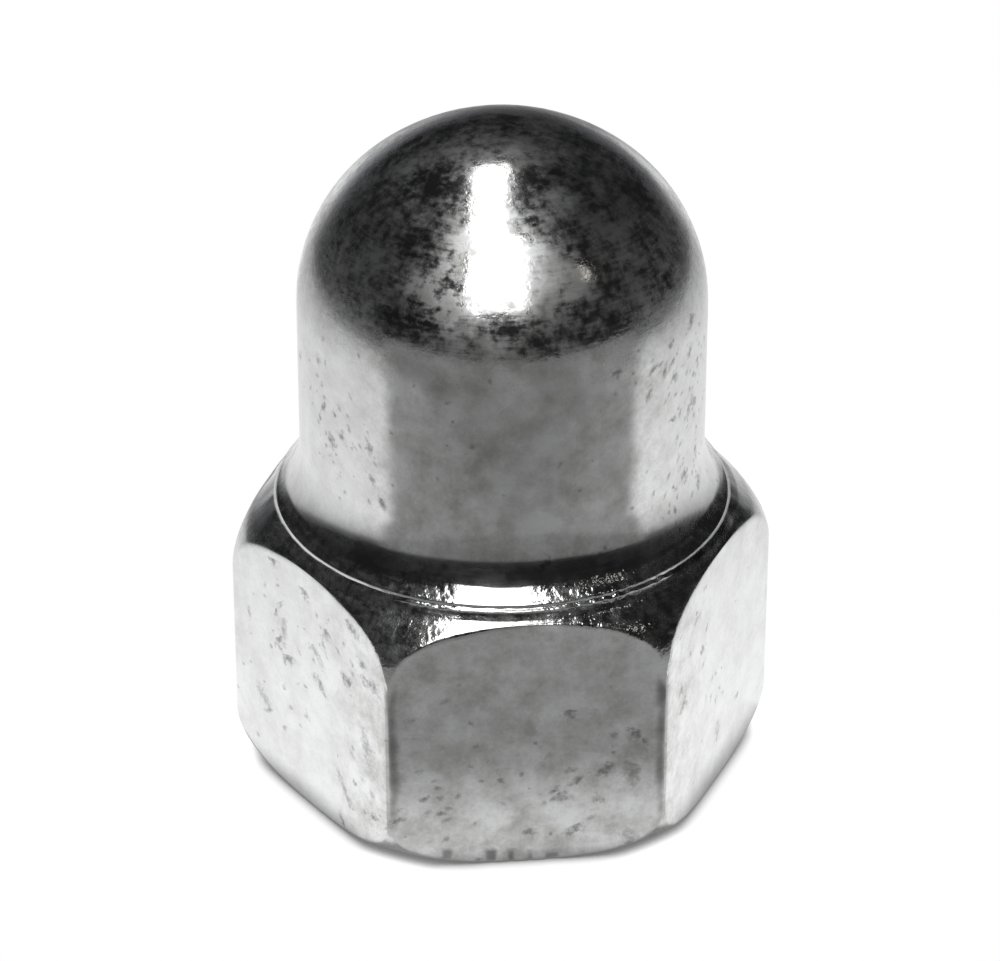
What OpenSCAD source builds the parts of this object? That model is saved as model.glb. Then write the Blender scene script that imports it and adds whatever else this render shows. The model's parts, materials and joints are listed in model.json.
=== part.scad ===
// Domed lug nut: a hexagon bar turned to a collared barrel with a closed, rounded end
// Millimetres, +Z up, origin at the middle of the bearing face on the nut's axis

/* [Hexagon] */
// Width across the flats
across_flats = 19; // [17:0.5:22]
// Height of a flat at its middle, above the bearing face
flat_height = 11.1; // [9:0.1:14]
// How far the six sharp corners are taken back
corner_blunt = 0.07; // [0.02:0.01:0.3]
// Radius turned on the upper corners
crest_radius = 3; // [2:0.1:4]
// Radius turned on the lower corners
base_radius = 1.9; // [0.6:0.1:2.5]

/* [Collar] */
// How far the collar's rim stands out from the barrel
collar_overhang = 1.14; // [0.8:0.02:1.3]
// Height of the collar's rim above the middle of the flats
collar_rise = 0.6; // [0.4:0.05:1]
// Height of the upright edge of the rim
rim_edge = 0.18; // [0.05:0.01:0.3]
// How far the slope under the rim spreads out over the crest
foot_spread = 0.24; // [0.1:0.02:0.28]

/* [Barrel] */
// Diameter of the barrel
barrel_diameter = 16.12; // [14.5:0.02:16.5]
// Radius of the long flare at the foot of the barrel
flare_radius = 4.3; // [2:0.1:6]
// Width that the flare adds to the barrel on each side
flare_width = 0.5; // [0.2:0.05:0.6]
// Radius of the tighter fillet between the flare and the collar
fillet_radius = 1.4; // [1:0.1:3]

/* [Dome] */
// Height over all
overall_height = 27.7; // [25:0.1:36]
// How much larger the crown's radius is than the barrel's
crown_extra = 0.5; // [0.1:0.05:1.5]
// Distance from the axis to the centre of the shoulder's curve
shoulder_inset = 0.87; // [0.3:0.01:3]

/* [Threaded hole] */
// Nominal diameter of the thread
thread_diameter = 12; // [10:0.5:12.5]
// Pitch of the thread
thread_pitch = 1.5; // [1:0.25:1.75]
// Metal left between the drill's point and the top of the dome
crown_wall = 5.6; // [3:0.1:8]
// Point angle of the drill
drill_angle = 118; // [90:1:140]
// How much wider the countersunk mouth is than the thread
mouth_extra = 0.6; // [0.2:0.1:1]
// Included angle of the countersunk mouth
mouth_angle = 90; // [60:5:120]

/* [Hidden] */
$fn = 128;
plating = "#c9c9c7";

// Length by which a cutting shape runs past the surface that it cuts
overrun = 1;
// Depth by which one curve of the profile runs into the next, so that they cross cleanly
seam = 0.005;

// Place to the nearest thousandth of a millimetre, so that bands share their edges exactly
function place(size) = round(size * 1000) / 1000;

// Other leg of a right triangle
function leg(longest, side) = sqrt(pow(longest, 2) - pow(side, 2));

// Hexagon, crest and base
flat_reach = across_flats / 2;
corner_reach = flat_reach / cos(30);
turned_reach = place(corner_reach - corner_blunt);
base_centre = [turned_reach - base_radius, base_radius];
crest_x = turned_reach - crest_radius;
crest_z = place(flat_height - leg(crest_radius, flat_reach - crest_x));
crest_centre = [crest_x, crest_z];

// Collar: a slope runs from the crest up to the rim's upright edge
barrel_reach = barrel_diameter / 2;
rim_reach = barrel_reach + collar_overhang;
rim_z = flat_height + collar_rise;
edge_z = rim_z - rim_edge;
foot_x = rim_reach + foot_spread;
foot_z = place(crest_z + leg(crest_radius, foot_x - crest_x));

// Flare and fillet: the two hollow curves touch where the flare has its full width
flare_angle = acos(1 - flare_width / flare_radius);
centre_span = flare_radius - fillet_radius;
fillet_x = place(barrel_reach + flare_radius - centre_span * cos(flare_angle) - seam);
fillet_z = place(rim_z + leg(fillet_radius, fillet_x - rim_reach));
fillet_centre = [fillet_x, fillet_z];
flare_z = place(fillet_z + centre_span * sin(flare_angle));
flare_centre = [barrel_reach + flare_radius, flare_z];
flare_end_z = place(flare_z - flare_radius * sin(flare_angle));

// Dome: the curve of the shoulder touches the barrel and the crown
shoulder_radius = barrel_reach - shoulder_inset;
crown_radius = barrel_reach + crown_extra;
crown_z = overall_height - crown_radius;
crown_span = crown_radius - shoulder_radius;
shoulder_z = place(crown_z + leg(crown_span, shoulder_inset));
shoulder_centre = [shoulder_inset, shoulder_z];
crown_low_z = place(crown_z + (shoulder_z - crown_z) * crown_radius / crown_span);
// Height to which the curve of the shoulder runs on inside the crown
shoulder_end_z = place((crown_low_z + shoulder_z + shoulder_radius) / 2);

// Hole: plain wall at the crests of the thread
thread_depth = 5 / 8 * thread_pitch * cos(30);
hole_reach = place(thread_diameter / 2 - thread_depth);
mouth_reach = (thread_diameter + mouth_extra) / 2;
mouth_slope = tan(mouth_angle / 2);
mouth_depth = (mouth_reach - hole_reach) / mouth_slope;
point_depth = hole_reach / tan(drill_angle / 2);
hole_depth = place(overall_height - crown_wall - point_depth);

// Band of the turned profile with a straight side
module straight_band(reach, low, high) {
    translate([0, low]) square([reach, high - low]);
}

// Band whose side slopes
module sloped_band(low_reach, high_reach, low, high) {
    polygon([[0, low], [low_reach, low], [high_reach, high], [0, high]]);
}

// Band whose side is a curve that swells outwards
module round_band(centre, radius, low, high) {
    straight_band(centre[0], low, high);
    intersection() {
        translate(centre) circle(radius);
        translate([centre[0], low]) square([radius, high - low]);
    }
}

// Band whose straight side is hollowed by a curve
module hollow_band(reach, centre, radius, low, high) {
    difference() {
        straight_band(reach, low, high);
        translate(centre) circle(radius);
    }
}

// Top of the profile, inside a circle on the axis
module crown_band(radius, middle, low) {
    intersection() {
        translate([0, middle]) circle(radius);
        translate([0, low]) square(2 * radius);
    }
}

// Half section of everything that the lathe cuts on the outside
module turned_profile() {
    round_band(base_centre, base_radius, 0, base_radius);
    straight_band(turned_reach, base_radius, crest_z);
    round_band(crest_centre, crest_radius, crest_z, edge_z);
    sloped_band(foot_x - seam, rim_reach, foot_z, edge_z);
    hollow_band(rim_reach, fillet_centre, fillet_radius, edge_z, flare_end_z);
    hollow_band(rim_reach, flare_centre, flare_radius, rim_z, flare_z);
    straight_band(barrel_reach, rim_z, shoulder_z);
    round_band(shoulder_centre, shoulder_radius, shoulder_z, shoulder_end_z);
    crown_band(crown_radius - seam, crown_z + seam, crown_low_z);
}

// Half section of the drilled and countersunk hole
module hole_profile() {
    polygon([
        [0, -overrun],
        [mouth_reach + overrun * mouth_slope, -overrun],
        [hole_reach, mouth_depth],
        [hole_reach, hole_depth],
        [0, hole_depth + point_depth]
    ]);
}

// Hexagon bar that the nut is turned from, with a flat facing -Y
module hexagon_bar() {
    translate([0, 0, -overrun])
        linear_extrude(overall_height + 2 * overrun)
            circle(corner_reach, $fn = 6);
}

// The nut, one piece of plated steel
module lug_nut() {
    color(plating)
        difference() {
            intersection() {
                hexagon_bar();
                rotate_extrude() turned_profile();
            }
            rotate_extrude() hole_profile();
        }
}

lug_nut();
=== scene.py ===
"""Looks of a domed lug nut: one plated, turned piece standing on a white sheet in soft studio light."""

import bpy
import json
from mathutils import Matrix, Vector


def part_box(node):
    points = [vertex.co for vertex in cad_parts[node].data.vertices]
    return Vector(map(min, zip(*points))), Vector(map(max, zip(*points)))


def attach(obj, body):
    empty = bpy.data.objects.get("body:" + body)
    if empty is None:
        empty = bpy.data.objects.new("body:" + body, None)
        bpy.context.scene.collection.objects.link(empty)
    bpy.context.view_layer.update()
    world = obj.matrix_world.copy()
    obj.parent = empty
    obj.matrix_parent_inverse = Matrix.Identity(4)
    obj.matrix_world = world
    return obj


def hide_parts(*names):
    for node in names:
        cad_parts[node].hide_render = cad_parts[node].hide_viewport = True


bl_info = {
    "name": "Domed lug nut",
    "version": (1, 0, 0),
    "blender": (4, 5, 0),
    "location": "View3D > Sidebar > Lug nut",
    "description": "Builds a plated lug nut with its thread, and a small studio round it",
    "category": "Object",
}

import json
import math

import bpy
import numpy as np
from mathutils import Vector

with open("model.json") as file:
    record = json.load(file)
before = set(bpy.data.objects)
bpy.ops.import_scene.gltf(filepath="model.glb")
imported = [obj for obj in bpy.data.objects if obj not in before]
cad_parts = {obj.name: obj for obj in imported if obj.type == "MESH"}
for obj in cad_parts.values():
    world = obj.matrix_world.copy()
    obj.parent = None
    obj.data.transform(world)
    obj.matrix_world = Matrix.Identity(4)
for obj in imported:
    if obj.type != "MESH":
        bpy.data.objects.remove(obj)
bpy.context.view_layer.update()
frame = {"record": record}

MM = 0.001
NODE = "lug_nut"

# Reach of the corners and flats, and the height over all
high_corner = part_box(NODE)[1]
thread_mount = next(m for m in frame["record"]["mounts"] if m["name"] == "thread")


def to_linear(code):
    """Linear RGBA of an sRGB hex colour such as #c9c9c7."""
    shares = [int(code[i : i + 2], 16) / 255 for i in (1, 3, 5)]
    linear = [s / 12.92 if s <= 0.04045 else ((s + 0.055) / 1.055) ** 2.4 for s in shares]
    return (*linear, 1.0)


def length(name, size, description, lowest=0):
    """A length property, given in millimetres and kept in metres."""
    return bpy.props.FloatProperty(
        name=name,
        description=description,
        default=size * MM,
        min=lowest * MM,
        precision=5,
        subtype="DISTANCE",
        unit="LENGTH",
    )


def turn(name, degrees, description):
    """An angle property, given in degrees and kept in radians."""
    return bpy.props.FloatProperty(
        name=name, description=description, default=math.radians(degrees), subtype="ANGLE", unit="ROTATION"
    )


def share(name, part, description):
    """A property from 0 to 1."""
    return bpy.props.FloatProperty(
        name=name, description=description, default=part, min=0, max=1, subtype="FACTOR"
    )


def strength(name, level, description):
    """Brightness of a lamp, where 1 is white."""
    return bpy.props.FloatProperty(name=name, description=description, default=level, min=0)


def colour(name, code, description):
    """A colour property, given as an sRGB hex value and kept linear."""
    return bpy.props.FloatVectorProperty(
        name=name, description=description, default=to_linear(code), size=4, min=0, max=1, subtype="COLOR"
    )


class NutSizes(bpy.types.PropertyGroup):
    """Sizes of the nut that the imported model's box and thread mount don't give."""

    flat_height: length("Flat height", 11.1, "Height of a flat at its middle")
    corner_radius: length("Corner radius", 0.45, "Radius on the six upright corners")
    crest_radius: length("Crest radius", 3, "Radius turned on the upper corners")
    base_radius: length("Base radius", 1.9, "Radius turned on the lower corners")
    top_wear: length("Top wear", 0.24, "How far the upper edges of the flats are worn round")
    base_wear: length("Base wear", 0.1, "How far the lower edges of the flats are worn round")
    barrel_diameter: length("Barrel diameter", 16.12, "Diameter of the plain barrel")
    collar_overhang: length("Collar overhang", 1.14, "How far the collar stands out from the barrel")
    collar_rise: length("Collar rise", 0.6, "Height of the collar's rim above the flats")
    rim_edge: length("Rim edge", 0.18, "Height of the upright edge of the rim")
    rim_wear: length("Rim wear", 0.04, "How far the rim's upper edge is worn round")
    foot_spread: length("Foot spread", 0.24, "How far the slope under the rim spreads over the crest")
    flare_radius: length("Flare radius", 4.3, "Radius of the long flare at the foot of the barrel")
    flare_width: length("Flare width", 0.5, "Width that the flare adds to the barrel on each side")
    fillet_radius: length("Fillet radius", 1.4, "Radius between the flare and the collar")
    crown_extra: length("Crown extra", 0.5, "How much larger the crown's radius is than the barrel's")
    shoulder_inset: length("Shoulder inset", 0.87, "Distance from the axis to the shoulder's centre")
    thread_diameter: length("Thread diameter", 12, "Nominal diameter of the thread")
    thread_pitch: length("Thread pitch", 1.5, "Pitch of the thread")
    thread_length: length("Thread length", 14, "Length of the full thread, from the bearing face")
    mouth_extra: length("Mouth extra", 0.6, "How much wider the countersunk mouth is than the thread")
    drill_angle: turn("Drill angle", 118, "Point angle of the drill")


class PlatingLooks(bpy.types.PropertyGroup):
    """Colours and finish of the plated steel."""

    bright: colour("Bright plating", "#f1f2f2", "Clean plating")
    # Duller plating in clouds. Their full share on the front is partly a painted shade
    dull_and_shaded: colour("Dull plating", "#bdbdba", "Plating clouded by handling")
    # Also the colour of the painted shade along the flats' edges, and of the darker rim and nicks
    pit_and_shade: colour("Pit", "#2e2d2c", "Dirt in pits and scuffs")
    bore: colour("Bore", "#8d8b88", "Thin plating inside the hole")
    roughness: share("Roughness", 0.12, "Roughness of the clean plating")
    frost: share("Frost", 0.42, "Roughness of the matt haze")


class StageLooks(bpy.types.PropertyGroup):
    """Camera, floor and lamps of the small studio."""

    camera_distance: length("Camera distance", 184.24, "Distance from the camera to its target")
    camera_turn: turn("Camera turn", -5.98, "Turn of the camera round the nut, from the front flat")
    camera_rise: turn("Camera rise", 30.95, "Height of the camera above the horizon")
    lens: bpy.props.FloatProperty(
        name="Lens", description="Focal length in millimetres on a 36 mm sensor", default=165.58, min=1
    )
    target_side: length("Target side", -0.082, "How far right of the nut's axis the camera aims", -10)
    target_height: length("Target height", 11.941, "Height at which the camera aims")
    floor: colour("Floor", "#ffffff", "White sheet under the nut")
    ceiling: colour("Ceiling", "#1a1a1b", "Dark cloth over the set, seen only in the plating")
    lamp: colour("Lamp", "#ffffff", "Cloth of the overhead lamp")
    lamp_strength: strength("Lamp strength", 3, "Brightness of the overhead lamp, where 1 is white")
    warm_lamp: colour("Warm lamp", "#fffbf4", "Shade of the small lamp at the right")
    warm_strength: strength("Warm strength", 1.1, "Brightness of the small lamp, where 1 is white")


# Lines and curves as arrays


def steps(count):
    """Shares from 0 up to, but not at, 1, as a column, so that each run ends where the next begins."""
    return (np.arange(count) / count)[:, None]


def straight(start, end, count):
    """Rows on a straight line in the half section: start plus a share of the way to end."""
    return [a + (b - a) * steps(count) for a, b in zip(start, end)]


def curve(centre, radius, first, last, count):
    """Rows on an arc in the half section: centre plus radius times the cosine and sine of an angle."""
    angle = first + (last - first) * steps(count)
    return [centre[0] + radius * np.cos(angle), centre[1] + radius * np.sin(angle)]


def eased(start, corner, end, count):
    """Rows on a worn edge: the parabola from start to end whose tangents meet at the corner."""
    t = steps(count)
    return [a * (1 - t) ** 2 + 2 * c * t * (1 - t) + b * t**2 for a, c, b in zip(start, corner, end)]


def on_circle(centre, radius, angle):
    """Point of a circle at an angle."""
    return centre[0] + radius * np.cos(angle), centre[1] + radius * np.sin(angle)


def leg(longest, side):
    """Other leg of a right triangle."""
    return np.sqrt(longest**2 - side**2)


# Lowest and highest share of its full height that a wave draws
WAVE_HEIGHTS = (0.4, 1)


def waves(angle, lowest, highest, seed):
    """Uneven ripple round the nut: cosines of whole numbers of waves with seeded phases, of unit spread."""
    draw = np.random.default_rng(seed)
    counts = np.arange(lowest, highest + 1)
    phases = draw.uniform(0, 2 * np.pi, len(counts))
    heights = draw.uniform(*WAVE_HEIGHTS, len(counts))
    total = (heights[:, None] * np.cos(counts[:, None] * angle + phases[:, None])).sum(0)
    return total / np.sqrt((heights**2).sum() / 2)


def smooth_share(values, low, high):
    """Smooth step from 0 at low to 1 at high."""
    part = np.clip((values - low) / (high - low), 0, 1)
    return part * part * (3 - 2 * part)


def bell(values, middle, spread):
    """Bell curve of unit height."""
    return np.exp(-(((values - middle) / spread) ** 2))


# Hexagon and thread

SIXTH = np.pi / 6
# Columns over each flat, from the front one round to the right, and over half a corner
FLAT_STEPS = (120, 80, 48, 48, 48, 64)
CORNER_STEPS = 4


def column_angles(flat_half):
    """Angles of the columns: even steps over each flat, and short steps over each corner."""
    runs = []
    for side, count in enumerate(FLAT_STEPS):
        middle = side * 2 * SIXTH
        runs.append(np.linspace(middle - SIXTH, middle - flat_half, CORNER_STEPS, endpoint=False))
        runs.append(np.linspace(middle - flat_half, middle + flat_half, count, endpoint=False))
        runs.append(np.linspace(middle + flat_half, middle + SIXTH, CORNER_STEPS, endpoint=False))
    return np.concatenate(runs)


def from_flat_middle(angle):
    """Angle from the middle of the nearest flat."""
    return (angle + SIXTH) % (2 * SIXTH) - SIXTH


def hexagon_reach(angle, flat_reach, corner_radius):
    """Distance to a hexagon with round corners: the flat's reach over the cosine of the angle from its
    middle, or at a corner the far side of a circle of the corner's radius."""
    from_flat = from_flat_middle(angle)
    from_corner = SIXTH - np.abs(from_flat)
    middle = (flat_reach - corner_radius) / np.cos(SIXTH)
    inside = np.maximum(corner_radius**2 - (middle * np.sin(from_corner)) ** 2, 0)
    round_reach = middle * np.cos(from_corner) + np.sqrt(inside)
    along = flat_reach * np.tan(np.abs(from_flat))
    on_flat = along < (flat_reach - corner_radius) * np.tan(SIXTH)
    return np.where(on_flat, flat_reach / np.cos(from_flat), round_reach)


def thread_reach(angle, height, minor, major, pitch):
    """Reach of a right-hand thread: a wave of the height less the helix's rise, with 60 degree flanks cut
    off at the minor reach over a quarter of the pitch and at the major reach over an eighth."""
    part = (height / pitch - angle / (2 * np.pi)) % 1
    from_root = np.abs(part - 0.5) * pitch
    flank = major - (from_root - pitch / 16) * np.sqrt(3)
    return np.clip(flank, minor, major)


# Half section of the nut, in runs from the drill's point out of the hole and up to the top of the dome

# Rows in each run
ROWS = {
    "drill": 6,
    "plain": 2,
    "turns": 84,
    "bearing": 3,
    "base": 8,
    "low_wear": 4,
    "flat_low": 9,
    "flat": 8,
    "high_wear": 7,
    "crest": 10,
    "slope": 3,
    "low_wall": 2,
    "ledge": 2,
    "high_wall": 2,
    "rim_wear": 3,
    "fillet": 9,
    "flare": 8,
    "barrel": 6,
    "shoulder": 20,
    "crown": 15,
}
# Height over a flat's lower edge that the nicks may take
NICK_ZONE = 0.8 * MM
# Largest share of the crest that its worn edge takes
CREST_WORN = 0.6
# The slope under the rim spreads wider over the corners at the sides
SIDE_SPREAD = 0.5 * MM
SIDE_REACH = (9.2 * MM, 10.2 * MM)
# The rim's edge is two small walls, one standing out and one drawn in, with a ledge between them
RIM_WALL = 0.065 * MM
RIM_STEP = 0.035 * MM
RIM_DRAWN = 0.08 * MM
RIM_INSET = RIM_STEP + RIM_DRAWN
# They part only in front, between these sines at the left and the right. Elsewhere the lower one is a
# stretch of the slope, between these shares of it
SPLIT_LEFT = (-0.62, -0.45)
SPLIT_RIGHT = (0.55, 0.75)
SLOPE_PARTS = (0.6, 0.75)
# Waves that make the walls uneven: fewest and most round the nut, seed and limit
WALL_WAVES = (30, 90, 5)
WALL_LIMIT = 1.5
# How uneven the walls are everywhere and more in front, and how much lower and smoother at the right
WALL_UNEVEN = 0.17
WALL_UNEVEN_FRONT = 0.18
WALL_FAINT = 0.22
WALL_SMOOTHED = 0.1
WALL_LOWEST = 0.66
FAINT_RIGHT = (0.5, 0.75)


def mouth_reach(s):
    """Reach of the countersunk mouth."""
    return (s.thread_diameter + s.mouth_extra) / 2


def hole_runs(s, angle):
    """Runs of the hole and the height of its point: the drill's cone, the plain wall, and the thread, which
    fades in over one turn and ends in the cone of the countersunk mouth."""
    minor = thread_mount["dims"]["r_mm"] * MM
    mouth = mouth_reach(s)
    depth = mouth - minor + thread_mount["dims"]["length_mm"] * MM
    point = depth + minor / math.tan(s.drill_angle / 2)
    turns = straight((minor, s.thread_length), (minor, 0), ROWS["turns"])
    fade = smooth_share(s.thread_length - turns[1], 0, s.thread_pitch)
    cut = thread_reach(angle, turns[1], minor, s.thread_diameter / 2, s.thread_pitch)
    turns[0] = np.maximum(minor + (cut - minor) * fade, mouth - turns[1])
    runs = {
        "drill": [part[1:] for part in straight((0, point), (minor, depth), ROWS["drill"])],
        "plain": straight((minor, depth), (minor, s.thread_length), ROWS["plain"]),
        "turns": turns,
    }
    return runs, point


def crest_cut(s, reach):
    """Centre of the circle turned on the upper corners, and the angle at which it cuts the hexagon."""
    across = high_corner.x - s.crest_radius
    centre = (across, s.flat_height - leg(s.crest_radius, high_corner.y - across))
    return centre, np.arccos(np.minimum((reach - centre[0]) / s.crest_radius, 1))


def hexagon_runs(s, reach):
    """Runs over the bearing face, round the base's arc, over its worn edge and up the flat, with ends that
    follow the hexagon's reach in each column."""
    centre = (high_corner.x - s.base_radius, s.base_radius)
    base_end = -np.arccos(np.minimum((reach - centre[0]) / s.base_radius, 1))
    low_edge = centre[1] + s.base_radius * np.sin(base_end)
    worn_end = base_end - s.base_wear / s.base_radius
    worn_point = on_circle(centre, s.base_radius, worn_end)
    flat_low = (reach, low_edge + s.base_wear)
    flat_high = (reach, low_edge + NICK_ZONE)
    crest, crest_start = crest_cut(s, reach)
    high_edge = crest[1] + s.crest_radius * np.sin(crest_start)
    return {
        "bearing": straight((mouth_reach(s), 0), (centre[0], 0), ROWS["bearing"]),
        "base": curve(centre, s.base_radius, -np.pi / 2, worn_end, ROWS["base"]),
        "low_wear": eased(worn_point, (reach, low_edge), flat_low, ROWS["low_wear"]),
        "flat_low": straight(flat_low, flat_high, ROWS["flat_low"]),
        "flat": straight(flat_high, (reach, high_edge - s.top_wear), ROWS["flat"]),
    }


def rim_place(s):
    """Reach and height of the collar's rim."""
    return s.barrel_diameter / 2 + s.collar_overhang, s.flat_height + s.collar_rise


def wall_heights(angle, split):
    """Heights of the rim's small walls: uneven by a ripple, more so where they part, lower at the right."""
    ripple = np.clip(waves(angle, *WALL_WAVES), -WALL_LIMIT, WALL_LIMIT)
    faint = smooth_share(np.sin(angle), *FAINT_RIGHT)
    uneven = 1 + (WALL_UNEVEN + WALL_UNEVEN_FRONT * split) * ripple
    return RIM_WALL * np.maximum(uneven - (WALL_FAINT + WALL_SMOOTHED * ripple) * faint, WALL_LOWEST)


def collar_runs(s, angle, reach):
    """Runs from the flat's worn upper edge, round the crest's arc and up the slope to the rim's two small
    walls. Where the walls don't part, the lower one is a stretch of the slope."""
    rim, rim_height = rim_place(s)
    crest, crest_start = crest_cut(s, reach)
    high_edge = crest[1] + s.crest_radius * np.sin(crest_start)
    foot_x = rim + s.foot_spread + SIDE_SPREAD * smooth_share(reach * np.abs(np.sin(angle)), *SIDE_REACH)
    foot_turn = np.arccos((foot_x - crest[0]) / s.crest_radius)
    foot = on_circle(crest, s.crest_radius, foot_turn)
    worn_turn = np.minimum(s.top_wear / s.crest_radius, CREST_WORN * (foot_turn - crest_start))
    crest_low = crest_start + worn_turn
    crest_point = on_circle(crest, s.crest_radius, crest_low)

    sine = np.sin(angle)
    split = smooth_share(sine, *SPLIT_LEFT) * (1 - smooth_share(sine, *SPLIT_RIGHT))
    wall = wall_heights(angle, split)
    edge_height = rim_height - s.rim_edge
    rim_foot = (rim - RIM_INSET, rim_height - wall)
    parted = [(rim + RIM_STEP, edge_height), (rim + RIM_STEP, edge_height + wall)]
    on_slope = [[a + part * (b - a) for a, b in zip(foot, rim_foot)] for part in SLOPE_PARTS]
    low_foot, low_head = [
        [a + (b - a) * split for a, b in zip(*ends)] for ends in zip(on_slope, parted)
    ]
    high_head = (rim - RIM_INSET, rim_height - s.rim_wear)
    return {
        "high_wear": eased(
            (reach, high_edge - s.top_wear), (reach, high_edge), crest_point, ROWS["high_wear"]
        ),
        "crest": curve(crest, s.crest_radius, crest_low, foot_turn, ROWS["crest"]),
        "slope": straight(foot, low_foot, ROWS["slope"]),
        "low_wall": straight(low_foot, low_head, ROWS["low_wall"]),
        "ledge": straight(low_head, rim_foot, ROWS["ledge"]),
        "high_wall": straight(rim_foot, high_head, ROWS["high_wall"]),
    }


def barrel_runs(s):
    """Runs from the rim's worn edge to the top: the hollow arcs of fillet and flare, which touch where the
    flare has its full width, the barrel, and the arcs of shoulder and crown, which touch in turn."""
    rim, rim_height = rim_place(s)
    barrel = s.barrel_diameter / 2
    flare_turn = math.acos(1 - s.flare_width / s.flare_radius)
    span = s.flare_radius - s.fillet_radius
    fillet_x = barrel + s.flare_radius - span * math.cos(flare_turn)
    fillet = (fillet_x, rim_height + leg(s.fillet_radius, fillet_x - rim))
    flare = (barrel + s.flare_radius, fillet[1] + span * math.sin(flare_turn))
    rim_turn = math.atan2(rim_height - fillet[1], rim - fillet[0]) + 2 * np.pi
    fillet_start = rim_turn - (s.rim_wear + RIM_INSET) / s.fillet_radius
    fillet_point = on_circle(fillet, s.fillet_radius, fillet_start)
    rim_head = (rim - RIM_INSET, rim_height - s.rim_wear)

    shoulder_radius = barrel - s.shoulder_inset
    crown_radius = barrel + s.crown_extra
    crown_z = high_corner.z - crown_radius
    crown_span = crown_radius - shoulder_radius
    shoulder = (s.shoulder_inset, crown_z + leg(crown_span, s.shoulder_inset))
    crown_turn = math.acos(s.shoulder_inset / crown_span)
    flare_end = np.pi + flare_turn
    return {
        "rim_wear": eased(rim_head, (rim - RIM_INSET, rim_height), fillet_point, ROWS["rim_wear"]),
        "fillet": curve(fillet, s.fillet_radius, fillet_start, flare_end, ROWS["fillet"]),
        "flare": curve(flare, s.flare_radius, flare_end, np.pi, ROWS["flare"]),
        "barrel": straight((barrel, flare[1]), (barrel, shoulder[1]), ROWS["barrel"]),
        "shoulder": curve(shoulder, shoulder_radius, 0, crown_turn, ROWS["shoulder"]),
        "crown": curve((0, crown_z), crown_radius, crown_turn, np.pi / 2, ROWS["crown"]),
    }


def nut_section(s):
    """Half sections of the nut, one for each column: angles of the columns, arrays of reach and height by
    row and column, the first row of each run, and the heights of the two ends on the axis."""
    flat_half = math.atan((1 - s.corner_radius / high_corner.y) * math.tan(SIXTH))
    angle = column_angles(flat_half)
    reach = np.minimum(hexagon_reach(angle, high_corner.y, s.corner_radius), high_corner.x)
    hole, point = hole_runs(s, angle)
    runs = {**hole, **hexagon_runs(s, reach), **collar_runs(s, angle, reach), **barrel_runs(s)}
    wide = {k: [np.broadcast_to(p, (len(p), len(angle))) for p in run] for k, run in runs.items()}
    reaches = np.concatenate([run[0] for run in wide.values()])
    heights = np.concatenate([run[1] for run in wide.values()])
    counts = [len(run[0]) for run in wide.values()]
    starts = dict(zip(wide, np.cumsum([0] + counts[:-1])))
    return angle, reaches, heights, starts, (point, high_corner.z)


# Marks of use

# Nicks by the front flat's lower edge, in millimetres: place along the flat, width, lowest and highest rise
NICKS = (
    (-3.18, 0.56, -0.08, 0.46),
    (-1.45, 0.6, -0.06, 0.5),
    (-0.64, 0.42, -0.08, 0.46),
    (0.14, 0.32, -0.1, 0.32),
    (1.0, 0.72, -0.12, 0.26),
)
NICK_DEPTH = 0.05 * MM
NICK_SOFT = 0.2 * MM
# The rim's ripple, and burrs between these sines at its right: height, fewest and most waves, and seed
RIM_RIPPLE = 0.01 * MM
RIPPLE_WAVES = (5, 40, 3)
RIM_BURR = 0.022 * MM
BURR_WAVES = (60, 130, 4)
BURR_START = (0.1, 0.4)
BURR_END = (0.6, 0.8)
# Rows over which they fade from the rim
RIPPLE_ROWS = 4


def nick_cover(angle, reaches, heights, starts):
    """Share of a nick at each point: a smooth window along the front flat times one in height."""
    rows = np.arange(len(reaches))[:, None]
    on_flat = (rows >= starts["base"]) & (rows < starts["flat"]) & (np.cos(angle) > np.cos(SIXTH))
    along = reaches * np.sin(angle)
    rise = heights - heights[starts["flat_low"]]
    places, widths, lows, highs = np.array(NICKS).T[:, :, None, None] * MM
    half = widths / 2
    across = 1 - smooth_share(np.abs(along - places), half - NICK_SOFT, half + NICK_SOFT / 2)
    above = smooth_share(rise, lows - NICK_SOFT / 2, lows + NICK_SOFT / 2)
    below = 1 - smooth_share(rise, highs - NICK_SOFT, highs + NICK_SOFT / 2)
    return (across * above * below).max(0) * on_flat


def worn_section(s):
    """The half sections with the marks of use: nicks pressed into the front flat's lower edge, and a ripple
    with small burrs on the collar's rim."""
    angle, reaches, heights, starts, tips = nut_section(s)
    nicks = nick_cover(angle, reaches, heights, starts)
    reaches = reaches - NICK_DEPTH * nicks
    rows = np.arange(len(reaches))[:, None]
    near_rim = bell(rows, (starts["low_wall"] + starts["fillet"]) / 2, RIPPLE_ROWS)
    sine = np.sin(angle)
    burred = smooth_share(sine, *BURR_START) * (1 - smooth_share(sine, *BURR_END))
    ripple = RIM_RIPPLE * waves(angle, *RIPPLE_WAVES) + RIM_BURR * burred * waves(angle, *BURR_WAVES)
    heights = heights + near_rim * ripple
    return angle, reaches, heights, starts, tips, nicks


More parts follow.
